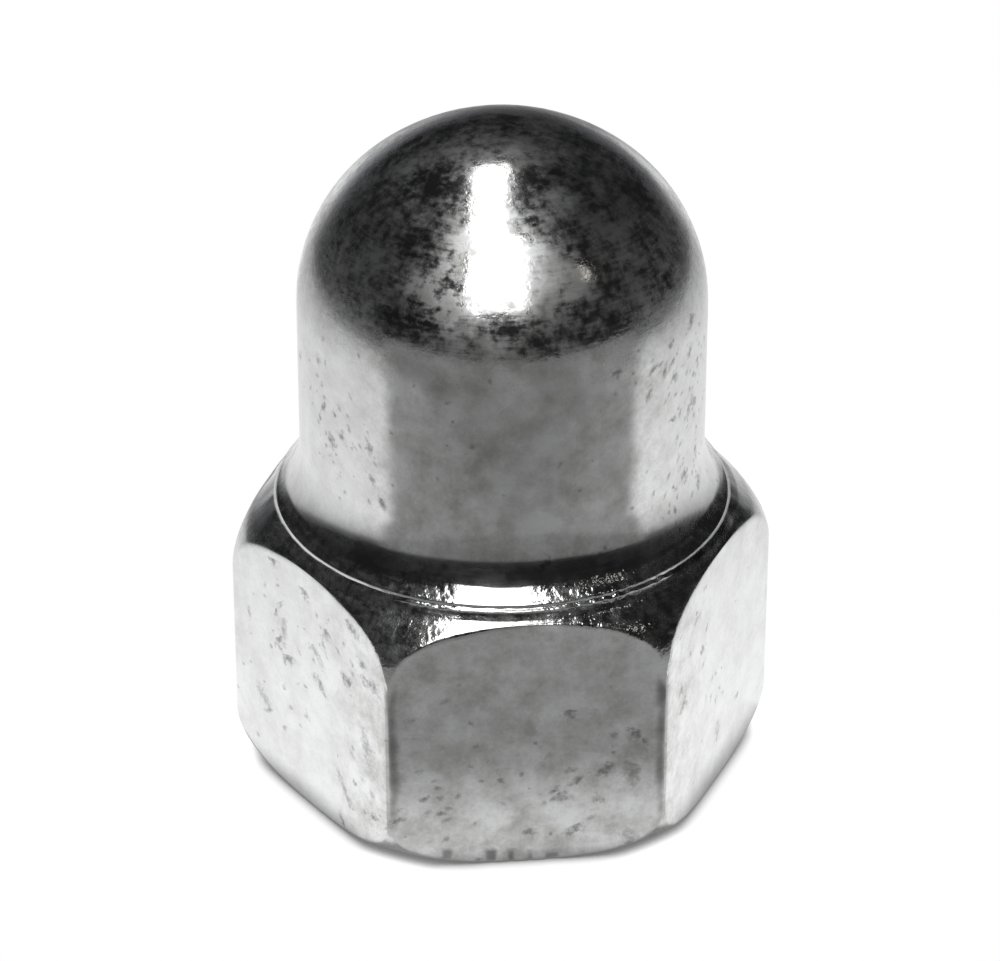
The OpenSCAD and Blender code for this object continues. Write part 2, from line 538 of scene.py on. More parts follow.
# Where pits and scuffs crowd: turn from the front in degrees, reach, height and spread in millimetres, and
# strength
SCUFFS = (
    (-62, 8.1, 16.6, 1.1, 0.9),
    (-46, 8.1, 16.9, 1.0, 0.8),
    (-52, 8.1, 15.0, 1.2, 0.5),
    (-54, 8.1, 21.4, 1.4, 0.5),
    (-70, 8.1, 18.6, 1.6, 0.4),
    (46, 8.1, 21.2, 2.0, 0.9),
    (57, 8.1, 19.4, 2.2, 0.9),
    (62, 8.1, 15.0, 1.6, 0.8),
    (48, 8.1, 14.0, 0.9, 0.9),
    (-62, 9.5, 7.6, 2.4, 0.7),
    (-48, 9.7, 8.2, 1.8, 0.6),
    (-41, 10.0, 3.6, 2.0, 0.6),
    (-22, 10.2, 3.0, 2.0, 0.5),
    (2, 9.5, 3.7, 1.6, 0.4),
    (18, 9.9, 3.8, 1.6, 0.3),
    (25, 10.4, 4.6, 1.6, 0.08),
    (42, 10.0, 7.6, 1.8, 0.7),
    (62, 9.5, 4.0, 2.4, 0.5),
    (150, 9.8, 7.0, 3.5, 0.7),
    (215, 8.1, 16.0, 3.0, 0.8),
    (265, 9.8, 6.0, 3.5, 0.7),
)
SCUFF_FLOOR = 0.03
# Where the dome's plating is matt, in the same way, and the haze that lies everywhere, on the dome and by
# the collar
FROST = (
    (-26, 7.0, 24.0, 1.2, 2.2),
    (-20, 6.0, 25.3, 0.9, 1.2),
    (-28, 4.8, 26.2, 1.0, 0.35),
    (-62, 3.9, 26.8, 1.5, 0.4),
    (4, 5.3, 25.9, 0.9, 0.9),
    (-6, 7.4, 23.2, 1.1, 0.7),
    (14, 6.6, 24.6, 1.3, 0.35),
    (-65, 6.9, 24.0, 1.0, 0.25),
    (46, 6.6, 24.5, 1.6, 0.3),
    (140, 6.0, 25.2, 3.0, 0.3),
)
FROST_FLOOR = 0.1
FROST_DOME = 0.46
FROST_COLLAR = 0.26
# Where the metal between the flats and the barrel is lumpy: turn and spread in degrees, and strength
LUMPS = ((18, 13, 1.0), (46, 14, 0.3), (-28, 14, 0.5), (160, 30, 0.6), (215, 20, 0.5))
LUMP_FLOOR = 0.06
# Rows over which the lumps begin and end
LUMP_START_ROWS = 5
LUMP_END_ROWS = 4
# Painted shade along the upright edges of the flats, a dark line laid on the plating: distance from the
# edge, spread, strength on the front flat and on the others, and the heights over which it begins
EDGE_SHADE_AT = 0.2 * MM
EDGE_SHADE_SPREAD = 0.32 * MM
EDGE_SHADE_FRONT = 0.72
EDGE_SHADE_OTHER = 0.3
EDGE_SHADE_LIFT = (0.8 * MM, 2.6 * MM)
# Darker on the rim from these sines on, and in the nicks
RIM_DARK_START = (0.5, 0.8)
NICK_DARK = 0.75
# Heights over which the dome's finish begins
DOME_START = (19.7 * MM, 21.8 * MM)
# Rows below the flare at which the collar's finish ends
COLLAR_END_ROWS = 2
# Cosines over which the front begins, clouded by handling and darker there by a painted shade
FRONT_WEAR_AND_SHADE_START = (0.6, 0.85)


def spun(angle, reaches, heights):
    """Points turned about the axis from the front: reach times the sine, minus reach times the cosine, and
    the height."""
    return np.stack([reaches * np.sin(angle), -reaches * np.cos(angle), heights], -1)


def crowding(points, rows):
    """How thickly marks lie: the sum of a bell curve round each place."""
    turns, reaches, heights, spreads, strengths = np.array(rows).T
    places = spun(np.radians(turns), reaches * MM, heights * MM)
    gaps = np.linalg.norm(points[:, None, :] - places[None], axis=2) / (spreads * MM)
    return (strengths * np.exp(-(gaps**2))).sum(1)


def lump_share(angle, rows, starts):
    """How lumpy the metal is: rows from the crest to the fillet times bell curves round the nut."""
    first, last = starts["high_wear"], starts["flare"]
    begun = smooth_share(rows, first, first + LUMP_START_ROWS)
    ended = smooth_share(rows, last - LUMP_END_ROWS, last + LUMP_END_ROWS)
    turns, spreads, strengths = np.array(LUMPS).T[:, :, None]
    away = (np.degrees(angle) - turns + 180) % 360 - 180
    return begun * (1 - ended) * (LUMP_FLOOR + (strengths * bell(away, 0, spreads)).sum(0))


def edge_shade_and_darkening_share(angle, heights, rows, starts):
    """Where the plating is darker: a strip of painted shade along the upright edges of each flat, strongest
    on the front one, and the right of the rim."""
    gap = high_corner.y * (math.tan(SIXTH) - np.tan(np.abs(from_flat_middle(angle))))
    # Painted shade: a dark strip on each flat by its upright edges
    strip = bell(gap, EDGE_SHADE_AT, EDGE_SHADE_SPREAD)
    level = np.where(np.cos(angle) > np.cos(SIXTH), EDGE_SHADE_FRONT, EDGE_SHADE_OTHER)
    on_flat = (rows >= starts["flat_low"]) & (rows < starts["high_wear"])
    edges = strip * level * on_flat * smooth_share(heights, *EDGE_SHADE_LIFT)
    rim = (rows >= starts["low_wall"]) & (rows < starts["fillet"])
    return edges + rim * smooth_share(np.sin(angle), *RIM_DARK_START)


# Meshes


def grid_faces(rows, columns, closed):
    """Corner numbers of a grid's quads, with the last column joined to the first where it is closed."""
    row = np.arange(rows - 1)[:, None]
    column = np.arange(columns if closed else columns - 1)[None]
    after = (column + 1) % columns
    corners = [
        row * columns + column,
        row * columns + after,
        (row + 1) * columns + after,
        (row + 1) * columns + column,
    ]
    return np.stack(np.broadcast_arrays(*corners), -1).reshape(-1, 4)


def mesh_object(name, points, *face_arrays):
    """A smooth mesh object from an array of points and arrays of faces."""
    mesh = bpy.data.meshes.new(name)
    faces = [face for array in face_arrays for face in array.tolist()]
    mesh.from_pydata(points.reshape(-1, 3).tolist(), [], faces)
    mesh.shade_smooth()
    made = bpy.data.objects.new(name, mesh)
    bpy.context.scene.collection.objects.link(made)
    return made


def add_attribute(mesh, name, values):
    """Keeps one number for each vertex, for the material to read."""
    data = mesh.attributes.new(name, "FLOAT", "POINT").data
    data.foreach_set("value", values.astype(np.float32).ravel())


def add_turned_map(mesh, around, along, full):
    """Keeps a map in millimetres: the distance round the nut and along the half section. On a face across
    the seam, the corners at the start of the round move on by a full round."""
    corners = np.empty(len(mesh.loops), np.int32)
    mesh.loops.foreach_get("vertex_index", corners)
    sizes = np.empty(len(mesh.polygons), np.int32)
    mesh.polygons.foreach_get("loop_total", sizes)
    owner = np.repeat(np.arange(len(sizes)), sizes)
    around = around[corners]
    highest = np.zeros(len(sizes))
    np.maximum.at(highest, owner, around)
    around = np.where(highest[owner] - around > full / 2, around + full, around)
    uv = mesh.uv_layers.new(name="turned")
    uv.uv.foreach_set("vector", np.stack([around, along[corners]], -1).astype(np.float32).ravel())


def build_nut(s):
    """The nut's mesh: the worn half sections spun about the axis, with a single point at each end."""
    angle, reaches, heights, starts, tips, nicks = worn_section(s)
    count, columns = reaches.shape
    ends = [[0, 0, tip] for tip in tips]
    points = np.concatenate([spun(angle, reaches, heights).reshape(-1, 3), ends])
    first, last = count * columns, count * columns + 1
    ring = np.arange(columns)
    after = (ring + 1) % columns
    top_ring = (count - 1) * columns
    fan = np.stack([np.full(columns, first), after, ring], -1)
    cap = np.stack([top_ring + ring, top_ring + after, np.full(columns, last)], -1)
    nut = mesh_object("plated_lug_nut", points, grid_faces(count, columns, True), fan, cap)
    mesh = nut.data

    # Finish at each point, and at the two ends
    rows = np.arange(count)[:, None] + np.zeros((1, columns))
    dome = smooth_share(heights, *DOME_START) * (rows > starts["barrel"])
    collar = (rows >= starts["high_wear"]) & (rows < starts["flare"] - COLLAR_END_ROWS)
    # Darker in the nicks and on the rim, and painted shade along the flats' edges
    edge_shade_and_darkening = np.maximum(edge_shade_and_darkening_share(angle, heights, rows, starts), NICK_DARK * nicks)
    finish = {
        "hole": (rows < starts["bearing"], 1, 0),
        "dome": (dome, 0, 1),
        "sides": ((1 - dome) * (1 - collar), 1, 0),
        "flats": ((rows >= starts["flat_low"]) & (rows < starts["high_wear"]), 0, 0),
        "lumps": (lump_share(angle, rows, starts), 0, 0),
        "edge_shade_and_darkening": (edge_shade_and_darkening, 0, 0),
        # The front: clouded more, partly as a painted shade, with fewer strokes and more pits
        "front_wear_and_shade": (smooth_share(np.cos(angle), *FRONT_WEAR_AND_SHADE_START) + 0 * rows, 1, 1),
    }
    for name, (values, low_tip, high_tip) in finish.items():
        add_attribute(mesh, name, np.append(values.astype(float).ravel(), [low_tip, high_tip]))
    add_attribute(mesh, "scuff", SCUFF_FLOOR + crowding(points, SCUFFS))
    frost = FROST_FLOOR + FROST_DOME * dome + FROST_COLLAR * collar
    frost = np.append(frost.ravel(), [0, FROST_FLOOR + FROST_DOME])
    add_attribute(mesh, "frost", frost + crowding(points, FROST))

    run = np.hypot(np.diff(reaches, axis=0), np.diff(heights, axis=0))
    along = np.concatenate([np.zeros((1, columns)), np.cumsum(run, 0)]) / MM
    along = np.append(along.ravel(), [0, along[-1].mean()])
    around = np.append(np.tile(angle, count), [0, 0]) * s.barrel_diameter / 2 / MM
    add_turned_map(mesh, around, along, np.pi * s.barrel_diameter / MM)
    return nut


# Materials

# Attributes of the nut that the plating reads
FINISH = ("hole", "dome", "sides", "flats", "lumps", "edge_shade_and_darkening", "front_wear_and_shade", "scuff", "frost")
# Noises in the plating: size in millimetres, detail and roughness. They are clouds and speckle of the haze,
# grain, the fraying of marks, spots that break up the darkening and the painted edge shade, lumps, beads on
# the lumps, dings, and the clouds of handling
NOISES = {
    "clouds": (1.8, 5, 0.6),
    "speckle": (0.35, 4, 0.6),
    "grain": (0.2, 3, 0.5),
    "frayed": (0.2, 4, 0.7),
    "spots": (1.1, 4, 0.5),
    "swells": (0.6, 3, 0.55),
    "beads": (0.22, 2, 0.5),
    "dings": (1.5, 2, 0.5),
    "handled": (1.4, 7, 0.74),
}
# Turning lines: lengths along and across them in millimetres, coarser than the lathe's so that they show
LINE_SIZES = (0.9, 0.9, 0.12)
# Shares of speckle and lines in the haze's clouds, and the range over which it thickens
HAZE_SPECKLE = 0.7
HAZE_LINES = 0.3
HAZE_RANGE = (0.82, 1.28)
# Kinds of marks: cell and reach across and along in millimetres, lean and sway in degrees. The strokes come
# out up to 0.3 mm wide and 1 mm long, the pits 0.1 to 0.5 mm and the specks under 0.2 mm
STROKES = (1.7, (0.3, 1.0), -24, 25)
PITS = (0.95, (0.28, 0.46), 0, 90)
SPECKS = (0.5, (0.14, 0.18), 0, 90)
# Smallest and largest mark, how ragged it is, and the range over which it fades
MARK_SIZES = (0.35, 1.15)
MARK_RAGGED = 3.6
MARK_FADE = (1.6, 3.0)
# Shares of strokes and of pits on the side flats and on the front one, and strength of the specks
STROKES_ON_FLATS = (1.0, 0.3)
PITS_ON_FLATS = (0.3, 0.8)
SPECK_STRENGTH = 0.7
# Range over which the spotted darkening, with the painted edge shade among it, turns dark
DARKENING_RANGE = (0.75, 1.5)
# Heights in micrometres: grain on the sides and on the dome, speckle on the dome, dings, and lumps
MICROMETRE = 1e-6
GRAIN_HEIGHTS = (0.35, 3.6)
SPECKLE_HEIGHT = 7.0
DING_HEIGHT = 10.0
LUMP_HEIGHT = 85.0
# Shares of the lines in the grain and of the beads in the lumps
GRAIN_LINES = 0.55
LUMP_BEADS = 0.3
# Roughness added by haze and inside the hole
HAZE_ROUGHNESS = 0.1
HOLE_ROUGHNESS = 0.2
# Range over which handling clouds the plating, and its share away from the front. The full share on the
# front is partly a painted shade
HANDLED_RANGE = (0.38, 0.66)
HANDLING_AND_SHADE_ON_SIDES = 0.42
# How dark strokes are, and pits, the darkened spots and the painted edge shade
STROKE_DARK = 0.42
PIT_AND_SHADE_DARK = 0.62


def add_node(tree, kind, inputs=None, out=0, **settings):
    """Adds a node with its settings, and gives the output asked for, if it has any. An input that is a
    socket is linked, and any other value is set."""
    node = tree.nodes.new(kind)
    for key, value in settings.items():
        setattr(node, key, value)
    for key, value in (inputs or {}).items():
        if isinstance(value, bpy.types.NodeSocket):
            tree.links.new(value, node.inputs[key])
        else:
            node.inputs[key].default_value = value
    return node.outputs[out] if node.outputs else None


def new_material(name):
    """An empty node material and its tree."""
    material = bpy.data.materials.new(name)
    material.use_nodes = True
    material.node_tree.nodes.clear()
    return material, material.node_tree


def scattered(tree, place, ragged, kind, density):
    """Mask of marks of a kind, one to a cell: an oval of its own size and lean, ragged by a noise, and left
    out where its draw is over the density."""
    cell, (across, along), lean, sway = kind
    scale = (cell, cell, 1)
    at = add_node(tree, "ShaderNodeMapping", {"Vector": place, "Scale": scale}, vector_type="TEXTURE")
    cells = add_node(tree, "ShaderNodeTexVoronoi", {"Vector": at, "Scale": 1}, voronoi_dimensions="2D")
    cells = cells.node.outputs
    draw = add_node(tree, "ShaderNodeSeparateColor", {0: cells["Color"]}).node.outputs
    turns = {3: math.radians(lean - sway), 4: math.radians(lean + sway)}
    angle = add_node(tree, "ShaderNodeMapRange", {0: draw[0], **turns})
    away = add_node(tree, "ShaderNodeVectorMath", {0: at, 1: cells["Position"]}, operation="SUBTRACT")
    turned = {"Vector": away, "Angle": angle}
    away = add_node(tree, "ShaderNodeVectorRotate", turned, rotation_type="Z_AXIS")
    halves = (across / cell, along / cell, 1)
    oval = add_node(tree, "ShaderNodeVectorMath", {0: away, 1: halves}, operation="DIVIDE")
    gap = add_node(tree, "ShaderNodeVectorMath", {0: oval}, "Value", operation="LENGTH")
    size = add_node(tree, "ShaderNodeMapRange", {0: draw[1], 3: MARK_SIZES[0], 4: MARK_SIZES[1]})
    gap = add_node(tree, "ShaderNodeMath", {0: gap, 1: size}, operation="DIVIDE")
    gap = add_node(tree, "ShaderNodeMath", {0: ragged, 1: MARK_RAGGED, 2: gap}, operation="MULTIPLY_ADD")
    fade = {0: gap, 1: MARK_FADE[0], 2: MARK_FADE[1], 3: 1.0, 4: 0.0}
    mask = add_node(tree, "ShaderNodeMapRange", fade, interpolation_type="SMOOTHSTEP")
    kept = add_node(tree, "ShaderNodeMath", {0: draw[2], 1: density}, operation="LESS_THAN")
    return add_node(tree, "ShaderNodeMath", {0: mask, 1: kept}, operation="MULTIPLY")


def haze_mask(tree, noise, lines, frost):
    """Matt haze in ragged clouds, which spreads the lamps' light."""
    speckled = {0: noise["speckle"], 1: HAZE_SPECKLE, 2: noise["clouds"]}
    ragged = add_node(tree, "ShaderNodeMath", speckled, operation="MULTIPLY_ADD")
    lined = {0: lines, 1: HAZE_LINES, 2: ragged}
    ragged = add_node(tree, "ShaderNodeMath", lined, operation="MULTIPLY_ADD")
    thickened = {0: ragged, 1: HAZE_RANGE[0], 2: HAZE_RANGE[1]}
    patches = add_node(tree, "ShaderNodeMapRange", thickened, interpolation_type="SMOOTHSTEP")
    return add_node(tree, "ShaderNodeMath", {0: patches, 1: frost}, operation="MULTIPLY")


def mark_masks(tree, noise, finish):
    """Masks of strokes on the flats, and of pits and specks on the sides: thick where scuffs crowd."""
    turned = add_node(tree, "ShaderNodeUVMap", uv_map="turned")
    crowd = add_node(tree, "ShaderNodeMath", {0: finish["scuff"], 1: finish["sides"]}, operation="MULTIPLY")
    ends = {3: STROKES_ON_FLATS[0], 4: STROKES_ON_FLATS[1]}
    stroked = add_node(tree, "ShaderNodeMapRange", {0: finish["front_wear_and_shade"], **ends})
    stroked = add_node(tree, "ShaderNodeMath", {0: stroked, 1: finish["flats"]}, operation="MULTIPLY")
    stroked = add_node(tree, "ShaderNodeMath", {0: crowd, 1: stroked}, operation="MULTIPLY")
    ends = {3: PITS_ON_FLATS[0], 4: PITS_ON_FLATS[1]}
    pitted = add_node(tree, "ShaderNodeMapRange", {0: finish["front_wear_and_shade"], **ends})
    pitted = add_node(tree, "ShaderNodeMapRange", {0: finish["flats"], 3: 1.0, 4: pitted})
    pitted = add_node(tree, "ShaderNodeMath", {0: crowd, 1: pitted}, operation="MULTIPLY")
    strokes = scattered(tree, turned, noise["frayed"], STROKES, stroked)
    pits = scattered(tree, turned, noise["frayed"], PITS, pitted)
    specks = scattered(tree, turned, noise["frayed"], SPECKS, pitted)
    specks = add_node(tree, "ShaderNodeMath", {0: specks, 1: SPECK_STRENGTH}, operation="MULTIPLY")
    return strokes, add_node(tree, "ShaderNodeMath", {0: pits, 1: specks}, operation="MAXIMUM")


def edge_shade_and_darkening_mask(tree, noise, edge_shade_and_darkening):
    """Darkening in spots: in the nicks, on the rim, and as painted shade along the flats' edges."""
    spots = add_node(tree, "ShaderNodeMath", {0: noise["spots"], 1: edge_shade_and_darkening}, operation="ADD")
    darkened = {0: spots, 1: DARKENING_RANGE[0], 2: DARKENING_RANGE[1]}
    return add_node(tree, "ShaderNodeMapRange", darkened, interpolation_type="SMOOTHSTEP")


def plating_relief(tree, noise, lines, finish):
    """Relief of the surface: grain and turning lines, speckle on the dome, dings on the flats, and lumps
    with beads by the collar, which sparkle."""
    grained = {0: lines, 1: GRAIN_LINES, 2: noise["grain"]}
    height = add_node(tree, "ShaderNodeMath", grained, operation="MULTIPLY_ADD")
    fine = {0: finish["dome"], 3: GRAIN_HEIGHTS[0], 4: GRAIN_HEIGHTS[1]}
    fine = add_node(tree, "ShaderNodeMapRange", fine)
    height = add_node(tree, "ShaderNodeMath", {0: height, 1: fine}, operation="MULTIPLY")
    beaded = {0: noise["beads"], 1: LUMP_BEADS, 2: noise["swells"]}
    swollen = add_node(tree, "ShaderNodeMath", beaded, operation="MULTIPLY_ADD")
    for form, where, level in (
        (noise["speckle"], finish["dome"], SPECKLE_HEIGHT),
        (noise["dings"], finish["flats"], DING_HEIGHT),
        (swollen, finish["lumps"], LUMP_HEIGHT),
    ):
        kept = add_node(tree, "ShaderNodeMath", {0: form, 1: where}, operation="MULTIPLY")
        height = add_node(tree, "ShaderNodeMath", {0: kept, 1: level, 2: height}, operation="MULTIPLY_ADD")
    return add_node(tree, "ShaderNodeBump", {"Height": height, "Distance": MICROMETRE})


def plating_tint(tree, looks, noise, finish, strokes, worn):
    """Colour of the plating: clouded by handling, more on the front, where the clouds are partly a painted
    shade, thin in the hole, darker in strokes, and dark in pits, in the darkened spots and in the painted
    shade along the flats' edges."""
    clouded = {0: noise["handled"], 1: HANDLED_RANGE[0], 2: HANDLED_RANGE[1]}
    clouded = add_node(tree, "ShaderNodeMapRange", clouded)
    # Clouds at full share on the front, partly a painted shade, and less on the sides
    front_wear_and_shade = add_node(tree, "ShaderNodeMapRange", {0: finish["front_wear_and_shade"], 3: HANDLING_AND_SHADE_ON_SIDES, 4: 1.0})
    clouded = add_node(tree, "ShaderNodeMath", {0: clouded, 1: front_wear_and_shade}, operation="MULTIPLY")
    strokes = add_node(tree, "ShaderNodeMath", {0: strokes, 1: STROKE_DARK}, operation="MULTIPLY")
    # Pits and the darkening, with the painted edge shade among it
    marks_and_shade = add_node(tree, "ShaderNodeMath", {0: worn, 1: PIT_AND_SHADE_DARK}, operation="MULTIPLY")
    marks_and_shade = add_node(tree, "ShaderNodeMath", {0: marks_and_shade, 1: strokes}, operation="MAXIMUM")
    tint = tuple(looks.bright)
    for mask, over in ((clouded, looks.dull_and_shaded), (finish["hole"], looks.bore), (marks_and_shade, looks.pit_and_shade)):
        tint = add_node(tree, "ShaderNodeMix", {0: mask, 6: tint, 7: tuple(over)}, 2, data_type="RGBA")
    return tint


def plated_steel(looks):
    """Chrome-plated, turned steel. It mirrors the room, softly where a matt haze clouds it, and shows
    turning lines, lumps that sparkle by the collar, clouds of handling that a painted shade darkens on the
    front, dark strokes and pits where it was scuffed, and painted shade along the flats' edges."""
    material, tree = new_material("chrome_plated_steel")
    place = add_node(tree, "ShaderNodeTexCoord", out="Object")
    in_mm = add_node(tree, "ShaderNodeMapping", {"Vector": place, "Scale": (1 / MM,) * 3})
    stretched = {"Vector": in_mm, "Scale": LINE_SIZES}
    lines_at = add_node(tree, "ShaderNodeMapping", stretched, vector_type="TEXTURE")
    lines = add_node(tree, "ShaderNodeTexNoise", {"Vector": lines_at, "Scale": 1, "Detail": 2})
    finish = {
        name: add_node(tree, "ShaderNodeAttribute", out="Fac", attribute_name=name) for name in FINISH
    }
    noise = {}
    for name, (size, detail, rough) in NOISES.items():
        inputs = {"Vector": in_mm, "Scale": 1 / size, "Detail": detail, "Roughness": rough}
        noise[name] = add_node(tree, "ShaderNodeTexNoise", inputs)

    haze = haze_mask(tree, noise, lines, finish["frost"])
    strokes, pits = mark_masks(tree, noise, finish)
    edge_shade_and_darkening = edge_shade_and_darkening_mask(tree, noise, finish["edge_shade_and_darkening"])
    # Pits, and the darkening that holds the painted shade along the flats' edges
    worn = add_node(tree, "ShaderNodeMath", {0: pits, 1: edge_shade_and_darkening}, operation="MAXIMUM")
    hazed = {0: haze, 1: HAZE_ROUGHNESS, 2: looks.roughness}
    rough = add_node(tree, "ShaderNodeMath", hazed, operation="MULTIPLY_ADD")
    bored = {0: finish["hole"], 1: HOLE_ROUGHNESS, 2: rough}
    rough = add_node(tree, "ShaderNodeMath", bored, operation="MULTIPLY_ADD")
    surface = {
        "Base Color": plating_tint(tree, looks, noise, finish, strokes, worn),
        "Metallic": 1.0,
        "Normal": plating_relief(tree, noise, lines, finish),
    }
    bright = add_node(tree, "ShaderNodeBsdfPrincipled", {**surface, "Roughness": rough})
    matt = add_node(tree, "ShaderNodeBsdfPrincipled", {**surface, "Roughness": looks.frost})
    shader = add_node(tree, "ShaderNodeMixShader", {0: haze, 1: bright, 2: matt})
    add_node(tree, "ShaderNodeOutputMaterial", {"Surface": shader})
    return material


# Shadow on the sheet: how far it looks for the nut, rays, open share from dark to white, and its darkest
SHADE_REACH = 0.45 * MM
SHADE_RAYS = 4
SHADE_RANGE = (0.3, 0.92)
SHADE_DARKEST = 0.16


def white_paper(stage):
    """Matt white paper, drawn at full white to the eye, with the nut's shadow close round it."""
    material, tree = new_material("white_paper")
    near = {"Distance": SHADE_REACH}
    near = add_node(tree, "ShaderNodeAmbientOcclusion", near, "AO", samples=SHADE_RAYS)
    shaded = {0: near, 1: SHADE_RANGE[0], 2: SHADE_RANGE[1], 3: SHADE_DARKEST, 4: 1.0}
    light = add_node(tree, "ShaderNodeMapRange", shaded)
    glow = add_node(tree, "ShaderNodeEmission", {"Color": tuple(stage.floor), "Strength": light})
    add_node(tree, "ShaderNodeOutputMaterial", {"Surface": glow})
    return material


def glowing(name, tint, level):
    """A glow of one colour. Its brightness is a number, or the name of an attribute that gives it."""
    material, tree = new_material(name)
    if isinstance(level, str):
        level = add_node(tree, "ShaderNodeAttribute", out="Fac", attribute_name=level)
    glow = add_node(tree, "ShaderNodeEmission", {"Color": tuple(tint), "Strength": level})
    add_node(tree, "ShaderNodeOutputMaterial", {"Surface": glow})
    return material


# Stage

SHEET_SIDE = 125 * MM
SHEET_FRONT = 420 * MM
SHEET_BACK = 200 * MM
# Sheet that only the plating sees: reach, lines each way, how they bunch up at the nut, and lift
REFLECTOR_REACH = 420 * MM
REFLECTOR_LINES = 301
REFLECTOR_BUNCH = 5
REFLECTOR_LIFT = 0.02 * MM
# The lit floor dims with distance from the nut, to half at this distance
DIM_LENGTH = 60 * MM
DIM_POWER = 1.3
# Far off it darkens further, over this range and by this share
FAR_RANGE = (72 * MM, 140 * MM)
FAR_DIM = 0.6
# The camera's own shadow, a wedge on the floor: its point, half angle and soft edge, how far before the
# flat it begins, its brightness by the nut, and the falls further off with their ranges
WEDGE_APEX = 2.6 * MM
WEDGE_HALF = math.radians(70.7)
WEDGE_SOFT = math.radians(6)
WEDGE_START = 0.4 * MM
WEDGE_LIGHT = 0.62
WEDGE_FALLS = ((0.345, 12 * MM, 17.5 * MM), (0.08, 26 * MM, 38 * MM))
# Shadow where the nut stands: range of gaps from the hexagon, and its darkest
CONTACT_RANGE = (-0.2 * MM, 1.0 * MM)
CONTACT_DARKEST = 0.25
# Dark cloth over the set: reach in metres, foot, gap at the top, and rows and columns
CEILING_REACH = 1.2
CEILING_FOOT = math.radians(-12)
CEILING_GAP = 0.001
CEILING_GRID = (64, 96)
# Pale walls far behind the nut: turn and spread in degrees, and brightness where 1 is white and where 1 is
# the dark cloth
WALLS = ((-165, 15, 1.0, 37), (153, 13, 0.9, 20))
WALL_ON_FLOOR = 2
WALL_ON_CLOTH = 3
WALL_DIM = 450 * MM
WALL_FOOT = math.radians(-4)
WALL_TOP = math.radians(14)
# The overhead lamp lies on a slope over the nut. From far to near: distance behind the nut, and its left
# and right sides, as shares of its height in metres
LAMP_HEIGHT = 0.5
LAMP_SLOPE = 0.757
LAMP_ROWS = (
    (0.96, -0.235, 0.185),
    (-0.2, -0.243, 0.0),
    (-0.245, -0.25, 0.138),
    (-0.74, -0.385, 0.11),
)
# The small lamp at the right: turn, rise, and distance and size in metres
WARM_TURN = math.radians(53)
WARM_RISE = math.radians(40)
WARM_DISTANCE = 0.5
WARM_SIZE = 0.058
# Camera: sensor in millimetres, and nearest and furthest distance in metres
SENSOR_WIDTH = 36
CLIP_RANGE = (0.01, 10)
# Brightness of the room to what neither the camera nor a mirror sees
ROOM_DIM = 0.4


def mirror_only(card):
    """Hides a card from the camera and keeps it out of the shadows, so that only the plating sees it."""
    card.visible_camera = False
    card.visible_diffuse = False
    card.visible_shadow = False


def build_sheet(stage):
    """White floor: a rectangle in the plane that the nut stands on."""
    x = np.array([-SHEET_SIDE, SHEET_SIDE])[None, :]
    y = np.array([-SHEET_FRONT, SHEET_BACK])[:, None]
    points = np.stack(np.broadcast_arrays(x, y, 0 * x), -1)
    sheet = mesh_object("floor_sheet", points, grid_faces(2, 2, False))
    sheet.data.materials.append(white_paper(stage))


def wall_share(angle, column):
    """Brightness of the pale walls at an angle: one of their two columns times a bell curve round each."""
    away = [(np.degrees(angle) - wall[0] + 180) % 360 - 180 for wall in WALLS]
    return sum(wall[column] * bell(gap, 0, wall[1]) for gap, wall in zip(away, WALLS))


def reflector_light(x, y):
    """Brightness of the floor as the plating sees it. It dims as one over one plus a power of the distance
    over a length, and further far off, but not below the pale walls. In a wedge in front it falls in smooth
    steps, and close to the nut it is in shadow."""
    reach = np.hypot(x, y)
    angle = np.arctan2(x, -y)
    gap = reach - hexagon_reach(angle, high_corner.y, 0.0)
    off = np.maximum(gap, 0)
    around = (1 - FAR_DIM * smooth_share(off, *FAR_RANGE)) / (1 + (off / DIM_LENGTH) ** DIM_POWER)
    around = np.maximum(around, wall_share(angle, WALL_ON_FLOOR) / (1 + off / WALL_DIM))
    front = WEDGE_LIGHT - sum(fall * smooth_share(-y, near, far) for fall, near, far in WEDGE_FALLS)
    away = np.abs(np.arctan2(x, -y - WEDGE_APEX))
    wedge = 1 - smooth_share(away, WEDGE_HALF - WEDGE_SOFT, WEDGE_HALF + WEDGE_SOFT)
    wedge = wedge * smooth_share(-y, high_corner.y, high_corner.y + WEDGE_START)
    contact = CONTACT_DARKEST + (1 - CONTACT_DARKEST) * smooth_share(gap, *CONTACT_RANGE)
    return (around + (front - around) * wedge) * contact


def lit_by_attribute(card, light, name, tint):
    """Gives a card a glow that follows the light at each point, without making it a lamp."""
    add_attribute(card.data, "light", light)
    material = glowing(name, tint, "light")
    material.cycles.emission_sampling = "NONE"
    card.data.materials.append(material)
    mirror_only(card)


def build_reflector(stage):
    """Sheet just over the floor that only the plating sees: a grid whose lines bunch up towards the nut,
    spaced by the hyperbolic sine."""
    line = np.sinh(REFLECTOR_BUNCH * np.linspace(-1, 1, REFLECTOR_LINES))
    line = REFLECTOR_REACH * line / math.sinh(REFLECTOR_BUNCH)
    x, y = np.meshgrid(line, line)
    points = np.stack([x, y, np.full_like(x, REFLECTOR_LIFT)], -1)
    reflector = mesh_object("floor_reflector", points, grid_faces(*x.shape, False))
    lit_by_attribute(reflector, reflector_light(x, y), "lit_floor", stage.floor)


